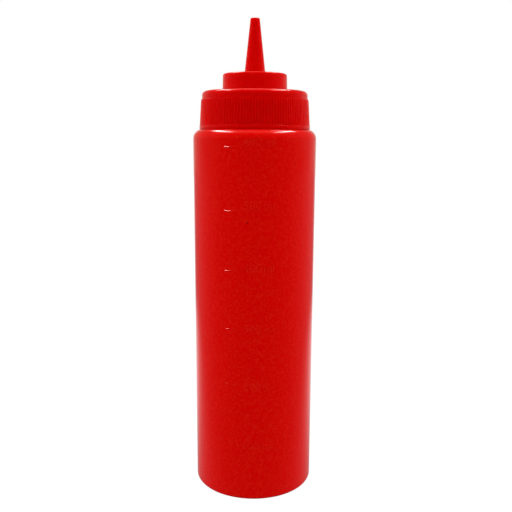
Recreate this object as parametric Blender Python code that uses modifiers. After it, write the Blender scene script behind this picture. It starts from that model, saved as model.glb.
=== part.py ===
# Condiment squeeze bottle: a round bottle with raised graduation bars, and a ribbed cap
# whose nozzle is a tall cone on a round turret. Metres, +Z up, origin under the middle of the base.

import math

import bpy
import bmesh
from mathutils import Matrix, Vector

OBJECT_NAME = "condiment_squeeze_bottle"
MM = 0.001
GAP = 0.3 * MM
ROUND_STEPS = 72
ARC_TOLERANCE = 0.03 * MM
MERGE_DISTANCE = 0.01 * MM

# The bottle
BODY_RADIUS = 33.25 * MM
FOOT_RADIUS = 32.85 * MM
BASE_CORNER = 1.7 * MM
FOOT_INNER_RADIUS = 26.5 * MM
PUSH_UP_RADIUS = 21.5 * MM
PUSH_UP_HEIGHT = 2.4 * MM
SHOULDER_Z = 198.8 * MM
SHOULDER_CORNER = 5.2 * MM
NECK_RADIUS = 25.4 * MM
NECK_ROOT = 0.6 * MM
NECK_CHAMFER = 0.8 * MM

# The graduation bars, one for each hundred millilitres, from the lowest up
BAR_HEIGHTS = [z * MM for z in (33.6, 65.6, 96.0, 127.0, 157.9, 190.0)]
BAR_START = math.radians(-28.0)
BAR_END = math.radians(-14.5)
BAR_WIDTH = 0.7 * MM
BAR_RELIEF = 0.35 * MM
BAR_SINK = 1.0 * MM
BAR_STEPS = 4

# The cap: its skirt, deck and turret
SKIRT_BOTTOM_Z = 199.4 * MM
BEAD_RADIUS = 29.85 * MM
BEAD_CORNER = 0.5 * MM
RIB_BOTTOM_Z = 200.85 * MM
RIB_TOP_Z = 214.6 * MM
CORE_RADIUS_BOTTOM = 29.35 * MM
CORE_RADIUS_TOP = 28.55 * MM
BAND_RADIUS = 28.35 * MM
DECK_Z = 218.85 * MM
DECK_CORNER = 2.3 * MM
TURRET_ROOT = 0.4 * MM
TURRET_RADIUS_BOTTOM = 17.35 * MM
TURRET_RADIUS_TOP = 17.2 * MM
TURRET_Z = 227.9 * MM
TURRET_CORNER = 1.1 * MM
DECK_THICKNESS = 2.2 * MM
NECK_TOP_Z = DECK_Z - DECK_THICKNESS - GAP
BORE_OVERRUN = 1.0 * MM

# The cap's nozzle
CONE_ROOT = 0.8 * MM
CONE_RADIUS_BOTTOM = 5.55 * MM
CONE_RADIUS_TOP = 2.5 * MM
TIP_Z = 256.45 * MM
TIP_CORNER = 0.35 * MM
ORIFICE_RADIUS = 1.3 * MM
ORIFICE_DEPTH = 8.0 * MM

# The cap's grip ribs
RIB_COUNT = 120
RIB_RELIEF = 0.43 * MM
RIB_TOP_ROUNDING = 0.5 * MM
RIB_CREST_SHARE = 0.3
RIB_GROOVE_SHARE = 0.3

RED = (0.58, 0.004, 0.002, 1.0)


def clear_scene():
    for obj in list(bpy.data.objects):
        bpy.data.objects.remove(obj, do_unlink=True)


def make_collection(name):
    collection = bpy.data.collections.new(name)
    bpy.context.scene.collection.children.link(collection)
    return collection


def plastic(name, colour, roughness):
    material = bpy.data.materials.new(name)
    material.use_nodes = True
    shader = material.node_tree.nodes["Principled BSDF"]
    shader.inputs["Base Color"].default_value = colour
    shader.inputs["Roughness"].default_value = roughness
    shader.inputs["Metallic"].default_value = 0.0
    return material


def arc(centre_x, centre_z, radius, start, end):
    """Points on an arc in the XZ plane; 0 degrees points along +X and 90 along +Z."""
    widest_step = 2 * math.degrees(math.acos(1 - ARC_TOLERANCE / radius))
    steps = math.ceil(abs(end - start) / widest_step)
    points = []
    for step in range(steps + 1):
        angle = math.radians(start + (end - start) * step / steps)
        points.append((centre_x + radius * math.cos(angle), centre_z + radius * math.sin(angle)))
    return points


def turned(name, profile, collection):
    """A solid turned about Z from a profile of (radius, height) that runs from the top down."""
    mesh = bpy.data.meshes.new(name)
    points = [(radius, 0.0, height) for radius, height in profile]
    edges = [(index, index + 1) for index in range(len(points) - 1)]
    mesh.from_pydata(points, edges, [])
    obj = bpy.data.objects.new(name, mesh)
    collection.objects.link(obj)
    screw = obj.modifiers.new("Turn", "SCREW")
    screw.axis = "Z"
    screw.angle = math.tau
    screw.steps = ROUND_STEPS
    screw.render_steps = ROUND_STEPS
    screw.use_merge_vertices = True
    screw.merge_threshold = MERGE_DISTANCE
    screw.use_smooth_shade = True
    return obj


def boolean(target, other, operation):
    modifier = target.modifiers.new(operation.title(), "BOOLEAN")
    modifier.object = other
    modifier.operation = operation
    modifier.solver = "EXACT"


def helper(obj):
    obj.hide_render = True
    obj.display_type = "WIRE"
    return obj


def wall_radius(height):
    """The wall's radius at a height: it widens evenly from the foot to the shoulder."""
    share = (height - BASE_CORNER) / (SHOULDER_Z - SHOULDER_CORNER - BASE_CORNER)
    return FOOT_RADIUS + (BODY_RADIUS - FOOT_RADIUS) * share


# The bottle, turned in one: neck, rounded shoulder, tapered wall, and a foot round a shallow push-up
def bottle_profile():
    profile = [(0.0, NECK_TOP_Z), (NECK_RADIUS - NECK_CHAMFER, NECK_TOP_Z)]
    profile += [(NECK_RADIUS, NECK_TOP_Z - NECK_CHAMFER)]
    profile += arc(NECK_RADIUS + NECK_ROOT, SHOULDER_Z + NECK_ROOT, NECK_ROOT, 180, 270)
    profile += arc(BODY_RADIUS - SHOULDER_CORNER, SHOULDER_Z - SHOULDER_CORNER, SHOULDER_CORNER, 90, 0)
    profile += arc(FOOT_RADIUS - BASE_CORNER, BASE_CORNER, BASE_CORNER, 0, -90)
    profile += [(FOOT_INNER_RADIUS, 0.0)]
    middle = (FOOT_INNER_RADIUS + PUSH_UP_RADIUS) / 2
    profile += [(middle, PUSH_UP_HEIGHT / 2), (PUSH_UP_RADIUS, PUSH_UP_HEIGHT), (0.0, PUSH_UP_HEIGHT)]
    return profile


def graduation_bar(name, height, collection):
    """A raised bar that follows the round wall, sunk into it so that the two fuse."""
    form = bmesh.new()
    rings = []
    inner = wall_radius(height) - BAR_SINK
    outer = wall_radius(height) + BAR_RELIEF
    for step in range(BAR_STEPS + 1):
        angle = BAR_START + (BAR_END - BAR_START) * step / BAR_STEPS
        direction = Vector((math.sin(angle), -math.cos(angle), 0.0))
        up = Vector((0.0, 0.0, BAR_WIDTH / 2))
        middle = Vector((0.0, 0.0, height))
        corners = [(inner, -1), (outer, -1), (outer, 1), (inner, 1)]
        rings.append([form.verts.new(direction * radius + middle + up * side) for radius, side in corners])
    for first, second in zip(rings[:-1], rings[1:]):
        for index in range(4):
            after = (index + 1) % 4
            form.faces.new((first[index], second[index], second[after], first[after]))
    form.faces.new(rings[0])
    form.faces.new(reversed(rings[-1]))
    bmesh.ops.recalc_face_normals(form, faces=form.faces)
    mesh = bpy.data.meshes.new(name)
    form.to_mesh(mesh)
    form.free()
    obj = bpy.data.objects.new(name, mesh)
    collection.objects.link(obj)
    return helper(obj)


def make_bottle(parts, cutters):
    bottle = turned("bottle", bottle_profile(), parts)
    for number, height in enumerate(BAR_HEIGHTS, start=1):
        bar = graduation_bar(f"bar_{number * 100}", height, cutters)
        boolean(bottle, bar, "UNION")
    bottle.data.materials.append(plastic("bottle_plastic", RED, 0.42))
    return bottle


# The cap from its tip down to its bead, without the ribs and the bore for the neck
def cap_profile():
    profile = [(0.0, TIP_Z - ORIFICE_DEPTH), (ORIFICE_RADIUS, TIP_Z - ORIFICE_DEPTH), (ORIFICE_RADIUS, TIP_Z)]
    profile += arc(CONE_RADIUS_TOP - TIP_CORNER, TIP_Z - TIP_CORNER, TIP_CORNER, 90, 0)
    profile += arc(CONE_RADIUS_BOTTOM + CONE_ROOT, TURRET_Z + CONE_ROOT, CONE_ROOT, 180, 270)
    profile += arc(TURRET_RADIUS_TOP - TURRET_CORNER, TURRET_Z - TURRET_CORNER, TURRET_CORNER, 90, 0)
    profile += arc(TURRET_RADIUS_BOTTOM + TURRET_ROOT, DECK_Z + TURRET_ROOT, TURRET_ROOT, 180, 270)
    profile += arc(BAND_RADIUS - DECK_CORNER, DECK_Z - DECK_CORNER, DECK_CORNER, 90, 0)
    profile += [(CORE_RADIUS_TOP, RIB_TOP_Z), (CORE_RADIUS_BOTTOM, RIB_BOTTOM_Z), (BEAD_RADIUS, RIB_BOTTOM_Z)]
    profile += arc(BEAD_RADIUS - BEAD_CORNER, SKIRT_BOTTOM_Z + BEAD_CORNER, BEAD_CORNER, 0, -90)
    profile += [(0.0, SKIRT_BOTTOM_Z)]
    return profile


def rib_ring(collection):
    """A tapered disc with a toothed rim: four points for each rib, two on its crest and two in the groove."""
    levels = [
        (RIB_BOTTOM_Z, CORE_RADIUS_BOTTOM, RIB_RELIEF),
        (RIB_TOP_Z - RIB_TOP_ROUNDING, CORE_RADIUS_TOP, RIB_RELIEF),
        (RIB_TOP_Z, CORE_RADIUS_TOP, RIB_RELIEF / 3),
    ]
    pitch = math.tau / RIB_COUNT
    crest = pitch * RIB_CREST_SHARE / 2
    groove = pitch * (1 - RIB_GROOVE_SHARE) / 2
    form = bmesh.new()
    rings = []
    for height, core, relief in levels:
        ring = []
        for rib in range(RIB_COUNT):
            for offset, raised in ((-groove, 0.0), (-crest, relief), (crest, relief), (groove, 0.0)):
                angle = pitch * rib + offset
                radius = core + raised
                ring.append(form.verts.new((radius * math.sin(angle), -radius * math.cos(angle), height)))
        rings.append(ring)
    count = len(rings[0])
    for lower, upper in zip(rings[:-1], rings[1:]):
        for index in range(count):
            after = (index + 1) % count
            form.faces.new((lower[index], lower[after], upper[after], upper[index]))
    form.faces.new(reversed(rings[0]))
    form.faces.new(rings[-1])
    bmesh.ops.recalc_face_normals(form, faces=form.faces)
    mesh = bpy.data.meshes.new("rib_ring")
    form.to_mesh(mesh)
    form.free()
    obj = bpy.data.objects.new("rib_ring", mesh)
    collection.objects.link(obj)
    return helper(obj)


def neck_bore(collection):
    """The room under the deck that the bottle's neck stands in."""
    top = DECK_Z - DECK_THICKNESS
    bottom = SKIRT_BOTTOM_Z - BORE_OVERRUN
    form = bmesh.new()
    bmesh.ops.create_cone(
        form,
        cap_ends=True,
        segments=ROUND_STEPS,
        radius1=NECK_RADIUS + GAP,
        radius2=NECK_RADIUS + GAP,
        depth=top - bottom,
        matrix=Matrix.Translation((0.0, 0.0, (top + bottom) / 2)),
    )
    mesh = bpy.data.meshes.new("neck_bore")
    form.to_mesh(mesh)
    form.free()
    obj = bpy.data.objects.new("neck_bore", mesh)
    collection.objects.link(obj)
    return helper(obj)


def make_cap(parts, cutters):
    cap = turned("cap", cap_profile(), parts)
    boolean(cap, rib_ring(cutters), "UNION")
    boolean(cap, neck_bore(cutters), "DIFFERENCE")
    cap.data.materials.append(plastic("cap_plastic", RED, 0.32))
    return cap


def main():
    clear_scene()
    parts = make_collection(OBJECT_NAME)
    cutters = make_collection("cutters")
    make_bottle(parts, cutters)
    make_cap(parts, cutters)


main()
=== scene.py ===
# Red squeeze bottle for sauces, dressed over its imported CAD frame. Metres, +Z up, front towards -Y.

import math

import bmesh
import bpy
from mathutils import Matrix, Vector


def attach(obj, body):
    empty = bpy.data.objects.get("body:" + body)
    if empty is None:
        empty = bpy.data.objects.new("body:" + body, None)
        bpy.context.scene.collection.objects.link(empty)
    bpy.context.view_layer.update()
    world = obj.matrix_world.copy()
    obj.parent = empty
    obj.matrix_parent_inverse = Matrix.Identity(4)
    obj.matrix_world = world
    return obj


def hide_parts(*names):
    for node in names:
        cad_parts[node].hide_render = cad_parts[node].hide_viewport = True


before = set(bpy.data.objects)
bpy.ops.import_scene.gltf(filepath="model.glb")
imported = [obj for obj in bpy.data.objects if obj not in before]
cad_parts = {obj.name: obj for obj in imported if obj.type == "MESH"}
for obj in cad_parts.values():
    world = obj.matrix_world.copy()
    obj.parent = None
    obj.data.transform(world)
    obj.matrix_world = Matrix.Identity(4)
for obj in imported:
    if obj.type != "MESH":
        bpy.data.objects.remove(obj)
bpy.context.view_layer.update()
mm = 0.001
print("frame loaded:", ", ".join(sorted(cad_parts)))


# Plain mesh tools

def arc(centreRadius, centreZ, radius, start, end, steps):
    # points of an arc in the radius/height plane, 0 degrees outward and 90 up
    points = []
    for step in range(steps + 1):
        angle = math.radians(start + (end - start) * step / steps)
        points.append((centreRadius + radius * math.cos(angle), centreZ + radius * math.sin(angle)))
    return points


def onWall(radius, azimuth, height):
    # a place on the round wall, azimuth in radians from the front, growing to the right
    return (radius * math.sin(azimuth), -radius * math.cos(azimuth), height)


def spin(form, profile, segments):
    # turns a profile of (radius, height) about Z, a radius of zero giving a single point
    rings = []
    for radius, height in profile:
        if radius == 0.0:
            rings.append([form.verts.new((0.0, 0.0, height))])
        else:
            turns = [math.tau * index / segments for index in range(segments)]
            rings.append([form.verts.new(onWall(radius, turn, height)) for turn in turns])
    for upper, lower in zip(rings[:-1], rings[1:]):
        bridge(form, upper, lower)
    return rings


def bridge(form, upper, lower):
    # joins two rings, where one may be a single point or hold a multiple of the other's points
    if len(upper) > len(lower) > 1:
        upper, lower = lower, upper
    few = len(upper)
    many = len(lower)
    if few == 1 or many == 1:
        point, ring = (upper[0], lower) if few == 1 else (lower[0], upper)
        for index in range(len(ring)):
            form.faces.new((point, ring[index], ring[(index + 1) % len(ring)]))
        return
    each = many // few
    for index in range(few):
        edge = [lower[(index * each + step) % many] for step in range(each + 1)]
        form.faces.new((upper[index], *edge, upper[(index + 1) % few]))


def pieceFrom(form, name, sharpAngle):
    # finishes a bmesh as a smooth shaded object whose tight creases stay crisp
    bmesh.ops.recalc_face_normals(form, faces=form.faces)
    mesh = bpy.data.meshes.new(name)
    form.to_mesh(mesh)
    form.free()
    mesh.shade_smooth()
    mesh.set_sharp_from_angle(angle=math.radians(sharpAngle))
    obj = bpy.data.objects.new(name, mesh)
    bpy.context.scene.collection.objects.link(obj)
    return obj


# Node helpers for the materials

def addNode(tree, kind, **settings):
    node = tree.nodes.new(kind)
    for key, value in settings.items():
        setattr(node, key, value)
    return node


def noiseAt(tree, place, size, detail, roughness):
    # a noise whose grains are about the given size across
    noise = addNode(tree, "ShaderNodeTexNoise")
    noise.inputs["Scale"].default_value = 1.0 / size
    noise.inputs["Detail"].default_value = detail
    noise.inputs["Roughness"].default_value = roughness
    tree.links.new(place, noise.inputs["Vector"])
    return noise.outputs["Fac"]


def spread(tree, value, low, high, fromLow=0.3, fromHigh=0.7):
    # stretches the middle of a noise over the range from low to high
    remap = addNode(tree, "ShaderNodeMapRange")
    remap.inputs["From Min"].default_value = fromLow
    remap.inputs["From Max"].default_value = fromHigh
    remap.inputs["To Min"].default_value = low
    remap.inputs["To Max"].default_value = high
    tree.links.new(value, remap.inputs["Value"])
    return remap.outputs["Result"]


def twoColours(tree, factor, first, second):
    mix = addNode(tree, "ShaderNodeMix", data_type="RGBA")
    mix.inputs["A"].default_value = first
    mix.inputs["B"].default_value = second
    tree.links.new(factor, mix.inputs["Factor"])
    return mix.outputs["Result"]


def bumpFrom(tree, height, distance, before=None):
    bump = addNode(tree, "ShaderNodeBump")
    bump.inputs["Distance"].default_value = distance
    bump.inputs["Strength"].default_value = 1.0
    tree.links.new(height, bump.inputs["Height"])
    if before is not None:
        tree.links.new(before, bump.inputs["Normal"])
    return bump.outputs["Normal"]


# Moulded red plastic: satin on the body, glossier on the cap, crisper on the raised marks

bodyLook = {
    "deep": (0.61, 0.0003, 0.0002, 1.0),
    "light": (0.635, 0.0075, 0.0030, 1.0),
    "mottle": 1.15 * mm,
    "mottleRange": (0.42, 0.70),
    "pebble": 1.2 * mm,
    "pebbleDepth": 0.005 * mm,
    "grain": 0.45 * mm,
    "grainDepth": 0.001 * mm,
    "roughness": (0.13, 0.18),
    "specularTint": (1.0, 0.012, 0.001, 1.0),
    "ior": 1.5,
    "through": 0.0,
    "throughReach": 3.0 * mm,
    "throughColour": (1.0, 0.05, 0.03),
}

marksLook = {
    **bodyLook,
    "pebbleDepth": 0.001 * mm,
    "roughness": (0.09, 0.12),
    "specularTint": (1.0, 0.44, 0.41, 1.0),
}

# painted light: the raised volumes get a lighter red than the body of the same plastic, which lifts
# the shade on their lower edges and stands in for the faint sheen on their edges
paintedLightVolumesLook = {
    **bodyLook,
    "deep": (0.66, 0.006, 0.003, 1.0),
    "light": (0.69, 0.016, 0.008, 1.0),
    "pebbleDepth": 0.001 * mm,
}

# painted shade: the cap gets a darker red than the body of the same red, which cancels the extra light
# its deck throws back up onto the turret
shadedCapLook = {
    "deep": (0.548, 0.0003, 0.0003, 1.0),
    "light": (0.568, 0.0022, 0.0014, 1.0),
    "mottle": 1.4 * mm,
    "mottleRange": (0.35, 0.65),
    "pebble": 0.9 * mm,
    "pebbleDepth": 0.001 * mm,
    "grain": 0.3 * mm,
    "grainDepth": 0.0005 * mm,
    "roughness": (0.12, 0.16),
    "specularTint": (1.0, 0.015, 0.004, 1.0),
    "ior": 1.43,
    "through": 0.6,
    "throughReach": 5.0 * mm,
    "throughColour": (1.0, 0.05, 0.03),
}

# detail and roughness of the three noises
noiseKinds = {
    "mottle": (3.0, 0.55),
    "pebble": (2.0, 0.5),
    "grain": (2.0, 0.6),
}


def mouldedPlastic(name, look):
    # a mottled colour, an uneven gloss, and a fine grain over soft pebbles
    material = bpy.data.materials.new(name)
    material.use_nodes = True
    tree = material.node_tree
    shader = tree.nodes["Principled BSDF"]
    place = addNode(tree, "ShaderNodeTexCoord").outputs["Object"]
    mottle = noiseAt(tree, place, look["mottle"], *noiseKinds["mottle"])
    pebble = noiseAt(tree, place, look["pebble"], *noiseKinds["pebble"])
    grain = noiseAt(tree, place, look["grain"], *noiseKinds["grain"])
    share = spread(tree, mottle, 0.0, 1.0, *look["mottleRange"])
    tree.links.new(twoColours(tree, share, look["deep"], look["light"]), shader.inputs["Base Color"])
    tree.links.new(spread(tree, pebble, *look["roughness"]), shader.inputs["Roughness"])
    coarse = bumpFrom(tree, pebble, look["pebbleDepth"])
    fine = bumpFrom(tree, grain, look["grainDepth"], coarse)
    tree.links.new(fine, shader.inputs["Normal"])
    shader.inputs["IOR"].default_value = look["ior"]
    shader.inputs["Specular Tint"].default_value = look["specularTint"]
    shader.inputs["Subsurface Weight"].default_value = look["through"]
    shader.inputs["Subsurface Radius"].default_value = look["throughColour"]
    shader.inputs["Subsurface Scale"].default_value = look["throughReach"]
    return material


bodyPlastic = mouldedPlastic("bodyPlastic", bodyLook)
marksPlastic = mouldedPlastic("marksPlastic", marksLook)
# the volumes' material carries painted light, a lighter red than the body's
paintedLightVolumesPlastic = mouldedPlastic("paintedLightVolumesPlastic", paintedLightVolumesLook)
# the cap's material carries painted shade, a darker red than the body's
shadedCapPlastic = mouldedPlastic("shadedCapPlastic", shadedCapLook)
print("materials ready")


# The bottle: neck, rounded shoulder, slightly tapered wall, foot and push-up

bottleSizes = {
    "segments": 288,
    "bodyRadius": 33.25 * mm,
    "footRadius": 32.85 * mm,
    "baseCorner": 1.7 * mm,
    "baseSteps": 10,
    "footInner": 26.5 * mm,
    "pushUpRadius": 21.5 * mm,
    "pushUpHeight": 2.4 * mm,
    "shoulderZ": 199.0 * mm,
    "shoulderCorner": 5.2 * mm,
    "shoulderSteps": 20,
    "neckRadius": 25.4 * mm,
    "neckRoot": 0.6 * mm,
    "neckRootSteps": 5,
    "neckChamfer": 0.8 * mm,
    "neckTop": 216.35 * mm,
    "wallSteps": 24,
    "sharpAngle": 35,
}


def wallRadius(height):
    # the wall widens evenly from the foot to the shoulder
    s = bottleSizes
    share = (height - s["baseCorner"]) / (s["shoulderZ"] - s["shoulderCorner"] - s["baseCorner"])
    return s["footRadius"] + (s["bodyRadius"] - s["footRadius"]) * share


def makeBottle(s):
    wall = s["bodyRadius"]
    corner = s["shoulderCorner"]
    base = s["baseCorner"]
    neck = s["neckRadius"]
    root = s["neckRoot"]
    profile = [(0.0, s["neckTop"]), (neck - s["neckChamfer"], s["neckTop"])]
    profile += [(neck, s["neckTop"] - s["neckChamfer"])]
    profile += arc(neck + root, s["shoulderZ"] + root, root, 180, 270, s["neckRootSteps"])
    profile += arc(wall - corner, s["shoulderZ"] - corner, corner, 90, 0, s["shoulderSteps"])
    top = s["shoulderZ"] - corner
    for step in range(1, s["wallSteps"]):
        height = top + (base - top) * step / s["wallSteps"]
        profile.append((wallRadius(height), height))
    profile += arc(s["footRadius"] - base, base, base, 0, -90, s["baseSteps"])
    profile += [(s["footInner"], 0.0)]
    middle = (s["footInner"] + s["pushUpRadius"]) / 2
    profile += [(middle, s["pushUpHeight"] / 2), (s["pushUpRadius"], s["pushUpHeight"])]
    profile += [(0.0, s["pushUpHeight"])]
    form = bmesh.new()
    spin(form, profile, s["segments"])
    bottle = pieceFrom(form, "bottleShell", s["sharpAngle"])
    bottle.data.materials.append(bodyPlastic)
    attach(bottle, "root")
    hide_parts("bottle")


makeBottle(bottleSizes)
print("bottle ready")


# Raised graduation: a short bar and a faint volume for each hundred millilitres, lowest first

barSizes = {
    "heights": [33.6 * mm, 65.6 * mm, 96.0 * mm, 127.0 * mm, 157.9 * mm, 190.0 * mm],
    "facets": [0.03 * mm, 0.03 * mm, 0.06 * mm, 0.07 * mm, 0.14 * mm, 0.14 * mm],
    "slopes": [53, 52, 51, 50, 47, 45],
    "from": math.radians(-28.0),
    "to": math.radians(-14.5),
    "relief": 0.20 * mm,
    "face": 0.22 * mm,
    "edge": 0.03 * mm,
    "sink": 0.15 * mm,
    "steps": 14,
    "rise": 16,  # full height after a sixteenth of its length
    "fall": 1.5,  # and falling away over the last two thirds
    "sharpAngle": 15,
}

volumeSizes = {
    "heights": [31.5 * mm, 64.8 * mm, 96.4 * mm, 128.7 * mm, 160.9 * mm, 192.4 * mm],
    "from": math.radians(-9.0),
    "width": 15.6 * mm,
    "tall": 4.2 * mm,
    "thin": -0.02,
    "wordGap": 0.6,
    "curveSteps": 6,
    "relief": 0.10 * mm,
    "sink": 0.12 * mm,
    "weld": 0.005 * mm,
    "bevel": 0.08 * mm,
    "bevelSteps": 2,
    "bevelAngle": 50,
    "sharpAngle": 40,
}


def addBar(form, s, height, facet, slope):
    # a low ridge that follows the wall, its upper edge cut off aslant, fading out to the right
    wall = wallRadius(height)
    relief = s["relief"]
    drop = facet * math.tan(math.radians(slope))
    section = [(-s["face"], -s["sink"]), (-s["face"], relief), (0.0, relief), (facet, relief - drop)]
    section += [(facet + s["edge"], 0.0), (facet + s["edge"], -s["sink"])]
    rings = []
    for step in range(s["steps"] + 1):
        share = step / s["steps"]
        turn = s["from"] + (s["to"] - s["from"]) * share
        fade = min(1.0, s["rise"] * share, s["fall"] * (1 - share))
        ring = []
        for across, out in section:
            lift = out * fade if out > 0 else out
            ring.append(form.verts.new(onWall(wall + lift, turn, height + across)))
        rings.append(ring)
    for first, second in zip(rings[:-1], rings[1:]):
        bridge(form, first, second)
    form.faces.new(rings[0])
    form.faces.new(reversed(rings[-1]))


def makeBars(s):
    form = bmesh.new()
    for height, facet, slope in zip(s["heights"], s["facets"], s["slopes"]):
        addBar(form, s, height, facet, slope)
    bars = pieceFrom(form, "graduationBars", s["sharpAngle"])
    bars.data.materials.append(marksPlastic)
    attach(bars, "root")


def lettersOf(words, s):
    # letters as a mesh about the plane z = 0, whose size doesn't matter yet
    curve = bpy.data.curves.new("volumeText", "FONT")
    curve.body = words
    curve.size = 1.0
    curve.space_word = s["wordGap"]
    curve.offset = s["thin"]
    curve.resolution_u = s["curveSteps"]
    curve.extrude = 0.5
    holder = bpy.data.objects.new("volumeText", curve)
    bpy.context.scene.collection.objects.link(holder)
    bpy.context.view_layer.update()
    seen = holder.evaluated_get(bpy.context.evaluated_depsgraph_get())
    mesh = bpy.data.meshes.new_from_object(seen)
    bpy.data.objects.remove(holder)
    bpy.data.curves.remove(curve)
    return mesh


def addVolume(form, s, words, height):
    # scales the letters of one volume and wraps them round the wall
    wall = wallRadius(height)
    letters = lettersOf(words, s)
    xs = [vertex.co.x for vertex in letters.vertices]
    ys = [vertex.co.y for vertex in letters.vertices]
    wide = s["width"] / (max(xs) - min(xs))
    tall = s["tall"] / (max(ys) - min(ys))
    for vertex in letters.vertices:
        turn = s["from"] + (vertex.co.x - min(xs)) * wide / wall
        lift = s["relief"] if vertex.co.z > 0 else -s["sink"]
        rise = (vertex.co.y - (min(ys) + max(ys)) / 2) * tall
        vertex.co = onWall(wall + lift, turn, height + rise)
    form.from_mesh(letters)
    bpy.data.meshes.remove(letters)


def makeVolumes(s):
    form = bmesh.new()
    for number, height in enumerate(s["heights"], start=1):
        addVolume(form, s, f"{number * 100} ml", height)
    bmesh.ops.remove_doubles(form, verts=form.verts, dist=s["weld"])
    volumes = pieceFrom(form, "volumeMarks", s["sharpAngle"])
    bevel = volumes.modifiers.new("softEdges", "BEVEL")
    bevel.width = s["bevel"]
    bevel.segments = s["bevelSteps"]
    bevel.limit_method = "ANGLE"
    bevel.angle_limit = math.radians(s["bevelAngle"])
    volumes.data.materials.append(paintedLightVolumesPlastic)
    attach(volumes, "root")


makeBars(barSizes)
makeVolumes(volumeSizes)
print("graduation ready")


# Two dark flecks moulded into the wall

fleckSizes = {
    "colours": {"deep": (0.03, 0.001, 0.001, 1.0), "light": (0.06, 0.002, 0.002, 1.0)},
    "rise": 0.02 * mm,
    "dome": [(1.0, -0.3), (0.9, 0.6), (0.5, 1.0)],  # share of radius, share of rise
    "sides": 14,
    "sharpAngle": 40,
    "flecks": [
        {"turn": -6.2, "height": 152.0 * mm, "radius": 0.38 * mm},
        {"turn": -31.4, "height": 169.3 * mm, "radius": 0.20 * mm},
    ],
}


def addFleck(form, s, fleck):
    # a low round spot that follows the wall
    wall = wallRadius(fleck["height"])
    rings = []
    for reach, lift in s["dome"]:
        ring = []
        for index in range(s["sides"]):
            angle = math.tau * index / s["sides"]
            turn = math.radians(fleck["turn"]) + reach * fleck["radius"] * math.cos(angle) / wall
            height = fleck["height"] + reach * fleck["radius"] * math.sin(angle)
            ring.append(form.verts.new(onWall(wall + lift * s["rise"], turn, height)))
        rings.append(ring)
    for outer, inner in zip(rings[:-1], rings[1:]):
        bridge(form, outer, inner)
    form.faces.new(rings[-1])


def makeFlecks(s):
    form = bmesh.new()
    for fleck in s["flecks"]:
        addFleck(form, s, fleck)
    flecks = pieceFrom(form, "wallFlecks", s["sharpAngle"])
    flecks.data.materials.append(mouldedPlastic("fleckPlastic", {**bodyLook, **s["colours"]}))
    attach(flecks, "root")


makeFlecks(fleckSizes)
print("flecks ready")


# The cap: bead, ribbed skirt, deck, turret and nozzle

capSizes = {
    "segments": 288,
    "skirtBottom": 199.12 * mm,
    "lipZ": 198.8 * mm,
    "lipInner": 28.1 * mm,
    "beadRadius": 29.85 * mm,
    "beadCorner": 0.2 * mm,
    "beadSteps": 6,
    "beadShelf": 29.68 * mm,
    "shelfSteps": 4,
    "deckZ": 218.85 * mm,
    "deckCorner": 2.3 * mm,
    "deckSteps": 14,
    "bandRadius": 28.35 * mm,
    "turretBottom": 17.35 * mm,
    "turretTop": 17.2 * mm,
    "turretZ": 227.9 * mm,
    "turretRoot": 0.4 * mm,
    "turretRootSteps": 5,
    "turretCorner": 1.1 * mm,
    "turretSteps": 10,
    "coneBottom": 5.55 * mm,
    "coneTop": 2.5 * mm,
    "coneRoot": 0.8 * mm,
    "coneRootSteps": 6,
    "tipZ": 256.45 * mm,
    "tipCorner": 0.35 * mm,
    "tipSteps": 6,
    "orificeRadius": 1.3 * mm,
    "orificeDepth": 8.0 * mm,
    "boreRadius": 25.7 * mm,
    "boreTop": 216.65 * mm,
    "sharpAngle": 35,
}

ribSizes = {
    "count": 120,
    "turn": math.radians(0.82),
    "bottom": 200.85 * mm,
    "top": 214.6 * mm,
    "coreBottom": 29.35 * mm,
    "coreTop": 28.55 * mm,
    "relief": 0.30 * mm,
    "pointsEach": 12,
    "levels": 14,
    "fadeLevels": 6,
    "fadeTop": 1.4 * mm,
    "crestEdge": 0.55,
    "grooveEdge": -0.35,
}


def capTop(s, r):
    # from the orifice's floor over the tip, down cone, turret and deck to the edge above the ribs
    floorZ = s["tipZ"] - s["orificeDepth"]
    tip = s["tipCorner"]
    coneRoot = s["coneRoot"]
    turret = s["turretCorner"]
    turretRoot = s["turretRoot"]
    deck = s["deckCorner"]
    outline = [(0.0, floorZ), (s["orificeRadius"], floorZ), (s["orificeRadius"], s["tipZ"])]
    outline += arc(s["coneTop"] - tip, s["tipZ"] - tip, tip, 90, 0, s["tipSteps"])
    outline += arc(s["coneBottom"] + coneRoot, s["turretZ"] + coneRoot, coneRoot, 180, 270,
                   s["coneRootSteps"])
    outline += arc(s["turretTop"] - turret, s["turretZ"] - turret, turret, 90, 0, s["turretSteps"])
    outline += arc(s["turretBottom"] + turretRoot, s["deckZ"] + turretRoot, turretRoot, 180, 270,
                   s["turretRootSteps"])
    outline += arc(s["bandRadius"] - deck, s["deckZ"] - deck, deck, 90, 0, s["deckSteps"])
    outline += [(s["bandRadius"], r["top"])]
    return outline


def capFoot(s, r):
    # round the bead under the ribs and up the bore for the neck
    shelf = s["beadRadius"] - s["beadShelf"]
    bead = s["beadCorner"]
    outline = arc(s["beadShelf"], r["bottom"] - shelf, shelf, 90, 0, s["shelfSteps"])
    outline += arc(s["beadRadius"] - bead, s["lipZ"] + bead, bead, 0, -90, s["beadSteps"])
    outline += [(s["lipInner"], s["skirtBottom"]), (s["boreRadius"], s["skirtBottom"])]
    outline += [(s["boreRadius"], s["boreTop"]), (0.0, s["boreTop"])]
    return outline


def ribShape(r, share):
    # 1 on the crest and 0 in the groove, with soft shoulders between
    wave = math.cos(math.tau * share)
    rise = min(1.0, max(0.0, (wave - r["grooveEdge"]) / (r["crestEdge"] - r["grooveEdge"])))
    return rise * rise * (3 - 2 * rise)


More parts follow.
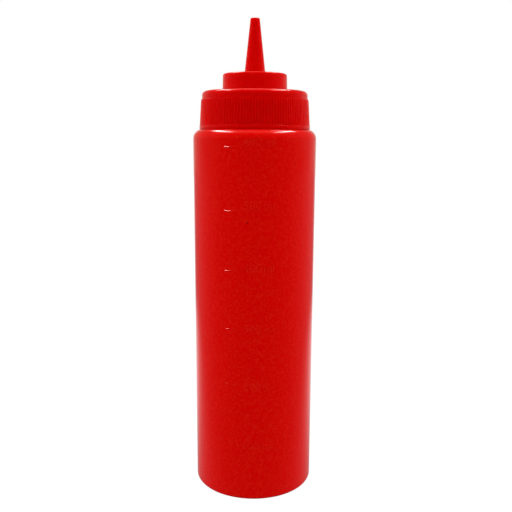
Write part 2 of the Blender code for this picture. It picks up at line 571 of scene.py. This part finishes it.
def ribRings(form, r):
    # rings down the tapered skirt, its fine ribs fading into the band above
    length = r["top"] - r["bottom"]
    fadeStart = 1 - r["fadeTop"] / length
    heights = [1 - (1 - fadeStart) * index / r["fadeLevels"] for index in range(r["fadeLevels"])]
    heights += [fadeStart * (1 - index / r["levels"]) for index in range(r["levels"] + 1)]
    count = r["count"] * r["pointsEach"]
    rings = []
    for share in heights:
        core = r["coreBottom"] + (r["coreTop"] - r["coreBottom"]) * share
        past = max(0.0, (share - fadeStart) / (1 - fadeStart))
        relief = r["relief"] * math.cos(past * math.pi / 2)
        ring = []
        for index in range(count):
            lift = relief * ribShape(r, index / r["pointsEach"])
            turn = r["turn"] + math.tau * index / count
            ring.append(form.verts.new(onWall(core + lift, turn, r["bottom"] + length * share)))
        rings.append(ring)
    for upper, lower in zip(rings[:-1], rings[1:]):
        bridge(form, upper, lower)
    return rings


def makeCap(s, r):
    form = bmesh.new()
    top = spin(form, capTop(s, r), s["segments"])
    ribs = ribRings(form, r)
    foot = spin(form, capFoot(s, r), s["segments"])
    bridge(form, top[-1], ribs[0])
    bridge(form, ribs[-1], foot[0])
    cap = pieceFrom(form, "capShell", s["sharpAngle"])
    cap.data.materials.append(shadedCapPlastic)
    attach(cap, "root")
    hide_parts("cap")


makeCap(capSizes, ribSizes)
print("cap ready")


# Studio: a pale floor, soft light from all round, and two strip lights for the shine

studio = {
    "floorSize": 6.0,
    "floorTiles": 4,
    "floorSharpAngle": 30,
    "floorColour": (0.05, 0.05, 0.05, 1.0),
    "floorRoughness": (0.75, 0.85),
    "floorSpecular": 0.1,
    "floorSeen": 1.0,
    "floorSoft": 0.29,
    "floorShine": 0.13,
    "cloud": (0.3, 2.0, 0.5),  # size, detail and roughness of the paper's unevenness
    "poolShine": 0.95,
    "poolPlace": (0.0, 0.27, 0.0),
    "poolFull": 0.12,
    "poolFaded": 0.33,
    "farShine": {"azimuth": 180, "elevation": 0, "full": 6, "faded": 36, "strength": 0.85},
    "softColour": (0.8, 0.8, 0.8, 1.0),
    "shineColour": (0.8, 0.79, 0.68, 1.0),
    "white": (1.0, 1.0, 1.0, 1.0),
}

# each soft light stands on both sides, degrees from the front, with a strength for either side
softLights = {
    "fore": {"azimuth": 40, "elevation": 36, "full": 10, "faded": 60, "left": 1.17, "right": 1.17},
    "foreHigh": {"azimuth": 40, "elevation": 60, "full": 10, "faded": 60, "left": 0.30, "right": 0.30},
    "near": {"azimuth": 60, "elevation": 10, "full": 5, "faded": 30, "left": 0.72, "right": 0.72},
    "rear": {"azimuth": 112, "elevation": 18, "full": 10, "faded": 60, "left": 2.85, "right": 2.85},
    "rearLow": {"azimuth": 120, "elevation": 10, "full": 5, "faded": 30, "left": 1.2, "right": 1.2},
    "rim": {"azimuth": 135, "elevation": 8, "full": 5, "faded": 30, "left": 1.1, "right": 1.4},
}

shineLights = {
    "backdrop": {"azimuth": 180, "elevation": -25, "full": 30, "faded": 80, "strength": 0.56},
    "backdropCore": {"azimuth": 180, "elevation": 0, "full": 3, "faded": 32, "strength": 0.45},
    "ceiling": {"azimuth": 180, "elevation": 84, "full": 6, "faded": 42, "strength": 2.3},
}

stripLights = {
    "leftStrip": {"place": (-0.56, 0.42, 1.2), "turn": 8, "size": (0.20, 0.80), "power": 16.0},
    "rightStrip": {"place": (0.53, 0.24, 1.2), "turn": -8, "size": (0.20, 0.80), "power": 16.0},
}


def towards(azimuth, elevation):
    # unit direction, azimuth in degrees from the front and growing to the right
    turn = math.radians(azimuth)
    rise = math.radians(elevation)
    return Vector((math.cos(rise) * math.sin(turn), -math.cos(rise) * math.cos(turn), math.sin(rise)))


def softLight(tree, place, look):
    # a round patch of light: full near its middle, faded to nothing at its edge
    aim = addNode(tree, "ShaderNodeVectorMath", operation="DOT_PRODUCT")
    aim.inputs[1].default_value = towards(look["azimuth"], look["elevation"])
    tree.links.new(place, aim.inputs[0])
    edge = addNode(tree, "ShaderNodeMapRange", interpolation_type="SMOOTHSTEP")
    edge.inputs["From Min"].default_value = math.cos(math.radians(look["faded"]))
    edge.inputs["From Max"].default_value = math.cos(math.radians(look["full"]))
    edge.inputs["To Max"].default_value = look["strength"]
    tree.links.new(aim.outputs["Value"], edge.inputs["Value"])
    return edge.outputs["Result"]


def bothSides(pairs):
    # the left and the right light of each pair
    lights = []
    for look in pairs.values():
        lights.append({**look, "azimuth": -look["azimuth"], "strength": look["left"]})
        lights.append({**look, "strength": look["right"]})
    return lights


def floorShine(tree, place, s):
    # what the plastic mirrors of the floor: a bright pool behind the bottle, and the floor far off
    away = addNode(tree, "ShaderNodeVectorMath", operation="DISTANCE")
    away.inputs[1].default_value = s["poolPlace"]
    tree.links.new(place, away.inputs[0])
    pool = addNode(tree, "ShaderNodeMapRange", interpolation_type="SMOOTHSTEP")
    pool.inputs["From Min"].default_value = s["poolFull"]
    pool.inputs["From Max"].default_value = s["poolFaded"]
    pool.inputs["To Min"].default_value = s["poolShine"]
    pool.inputs["To Max"].default_value = s["floorShine"]
    tree.links.new(away.outputs["Value"], pool.inputs["Value"])
    outward = addNode(tree, "ShaderNodeVectorMath", operation="NORMALIZE")
    tree.links.new(place, outward.inputs[0])
    brightest = addNode(tree, "ShaderNodeMath", operation="MAXIMUM")
    tree.links.new(pool.outputs["Result"], brightest.inputs[0])
    tree.links.new(softLight(tree, outward.outputs["Vector"], s["farShine"]), brightest.inputs[1])
    return brightest.outputs["Value"]


def makeFloor(s):
    # white paper, which glows a little to light the foot and shines more in the plastic
    form = bmesh.new()
    tiles = s["floorTiles"]
    bmesh.ops.create_grid(form, x_segments=tiles, y_segments=tiles, size=s["floorSize"] / 2)
    floor = pieceFrom(form, "floor", s["floorSharpAngle"])
    material = bpy.data.materials.new("paleFloor")
    material.use_nodes = True
    tree = material.node_tree
    shader = tree.nodes["Principled BSDF"]
    place = addNode(tree, "ShaderNodeTexCoord").outputs["Object"]
    cloud = noiseAt(tree, place, *s["cloud"])
    tree.links.new(spread(tree, cloud, *s["floorRoughness"]), shader.inputs["Roughness"])
    shader.inputs["Base Color"].default_value = s["floorColour"]
    shader.inputs["Specular IOR Level"].default_value = s["floorSpecular"]
    shader.inputs["Emission Color"].default_value = s["white"]
    path = addNode(tree, "ShaderNodeLightPath")
    given = addNode(tree, "ShaderNodeMix", data_type="FLOAT")
    given.inputs["A"].default_value = s["floorSoft"]
    tree.links.new(path.outputs["Is Glossy Ray"], given.inputs["Factor"])
    tree.links.new(floorShine(tree, place, s), given.inputs["B"])
    glow = addNode(tree, "ShaderNodeMix", data_type="FLOAT")
    glow.inputs["B"].default_value = s["floorSeen"]
    tree.links.new(path.outputs["Is Camera Ray"], glow.inputs["Factor"])
    tree.links.new(given.outputs["Result"], glow.inputs["A"])
    tree.links.new(glow.outputs["Result"], shader.inputs["Emission Strength"])
    floor.data.materials.append(material)


def glowOf(tree, place, lights, colour):
    # a background whose strength is the sum of its round lights
    total = None
    for look in lights:
        glow = softLight(tree, place, look)
        if total is not None:
            both = addNode(tree, "ShaderNodeMath", operation="ADD")
            tree.links.new(total, both.inputs[0])
            tree.links.new(glow, both.inputs[1])
            glow = both.outputs["Value"]
        total = glow
    background = addNode(tree, "ShaderNodeBackground")
    background.inputs["Color"].default_value = colour
    tree.links.new(total, background.inputs["Strength"])
    return background.outputs["Background"]


def either(tree, choice, no, yes):
    mix = addNode(tree, "ShaderNodeMixShader")
    tree.links.new(choice, mix.inputs["Fac"])
    tree.links.new(no, mix.inputs[1])
    tree.links.new(yes, mix.inputs[2])
    return mix.outputs["Shader"]


def makeSurround(s, lights, shines):
    # soft lights colour the plastic, the backdrop shines in it, and to the eye it is plain white
    world = bpy.data.worlds.new("surround")
    bpy.context.scene.world = world
    world.use_nodes = True
    tree = world.node_tree
    tree.nodes.clear()
    place = addNode(tree, "ShaderNodeTexCoord").outputs["Generated"]
    path = addNode(tree, "ShaderNodeLightPath")
    backdrop = addNode(tree, "ShaderNodeBackground")
    backdrop.inputs["Color"].default_value = s["white"]
    soft = glowOf(tree, place, bothSides(lights), s["softColour"])
    shine = glowOf(tree, place, shines.values(), s["shineColour"])
    around = either(tree, path.outputs["Is Glossy Ray"], soft, shine)
    whole = either(tree, path.outputs["Is Camera Ray"], around, backdrop.outputs["Background"])
    output = addNode(tree, "ShaderNodeOutputWorld")
    tree.links.new(whole, output.inputs["Surface"])


def makeStrip(name, s):
    # a long lamp overhead that runs away behind the bottle, seen only as a shine in the plastic
    light = bpy.data.lights.new(name, "AREA")
    light.shape = "RECTANGLE"
    light.size, light.size_y = s["size"]
    light.energy = s["power"]
    obj = bpy.data.objects.new(name, light)
    bpy.context.scene.collection.objects.link(obj)
    obj.location = s["place"]
    obj.rotation_euler = (0.0, 0.0, math.radians(s["turn"]))
    obj.visible_camera = False
    obj.visible_diffuse = False


makeFloor(studio)
makeSurround(studio, softLights, shineLights)
for stripName, stripLook in stripLights.items():
    makeStrip(stripName, stripLook)
print("studio ready")


# Camera, level with the shoulder and looking a little down

view = {
    "sensor": 36.0,
    "lens": 47.32,
    "clipStart": 0.01,
    "place": (0.0010, -0.3709, 0.1948),
    "down": 10.02,
    "roll": 0.26,
}


def makeCamera(s):
    data = bpy.data.cameras.new("camera")
    data.sensor_width = s["sensor"]
    data.lens = s["lens"]
    data.clip_start = s["clipStart"]
    obj = bpy.data.objects.new("camera", data)
    bpy.context.scene.collection.objects.link(obj)
    tilt = Matrix.Rotation(math.radians(90 - s["down"]), 4, "X")
    roll = Matrix.Rotation(math.radians(s["roll"]), 4, "Z")
    obj.matrix_world = Matrix.Translation(s["place"]) @ tilt @ roll
    bpy.context.scene.camera = obj
    bpy.context.scene.view_settings.view_transform = "Standard"


makeCamera(view)
print("camera ready")
